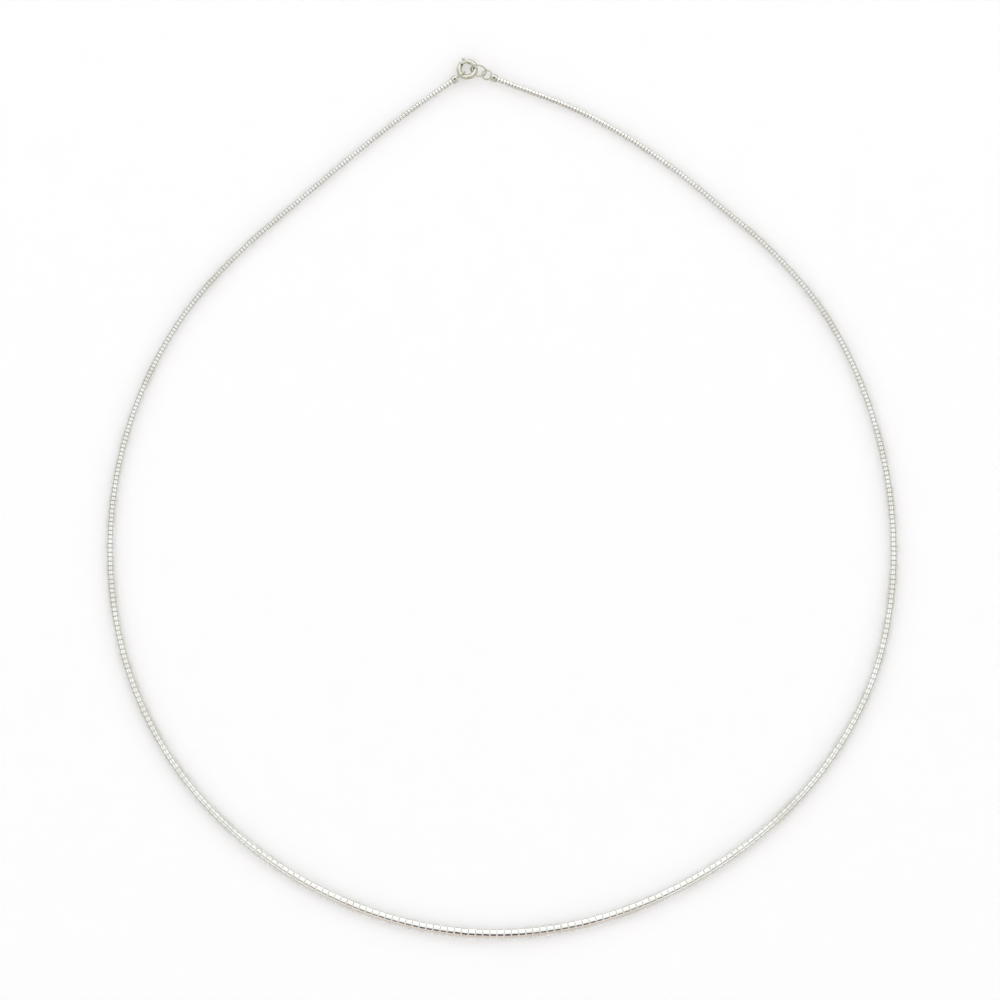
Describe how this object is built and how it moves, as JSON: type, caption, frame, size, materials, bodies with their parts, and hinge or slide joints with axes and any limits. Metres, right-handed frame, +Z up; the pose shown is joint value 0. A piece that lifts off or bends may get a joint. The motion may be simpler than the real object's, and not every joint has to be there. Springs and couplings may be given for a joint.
{
  "type": "omega necklace",
  "caption": "Slim graduated omega necklace: a flexible collar of close-set domed plates, tapering from its front to both ends, closed behind the neck by a bolt ring and a jump ring.",
  "frame": {"origin": "middle of the outline's box, on the surface that the necklace lies on", "axes": "+Z up from that surface, +Y towards the clasp at the back of the neck, -Y towards the widest plates at the front, +X to the right seen from above"},
  "size_m": [0.1442, 0.1604, 0.0025],
  "materials": {
    "plate_silver": "polished silver, darkened in the gaps between the plates",
    "clasp_silver": "polished silver with a faint warm tarnish"
  },
  "bodies": {
    "necklace": {"omega_chain": "plate_silver", "left_end": "clasp_silver", "right_end": "clasp_silver", "bolt_ring": "clasp_silver", "jump_ring": "clasp_silver"},
    "bolt": {"bolt": "clasp_silver"}
  },
  "joints": [
    {"name": "bolt_slide", "type": "hinge", "parent": "necklace", "child": "bolt", "pos_m": [-0.00631, 0.07802, 0.00093], "axis": [0.0783, -0.2643, -0.9613], "range_deg": [0, 55], "stiffness_Nm_per_rad": 0.0002}
  ]
}
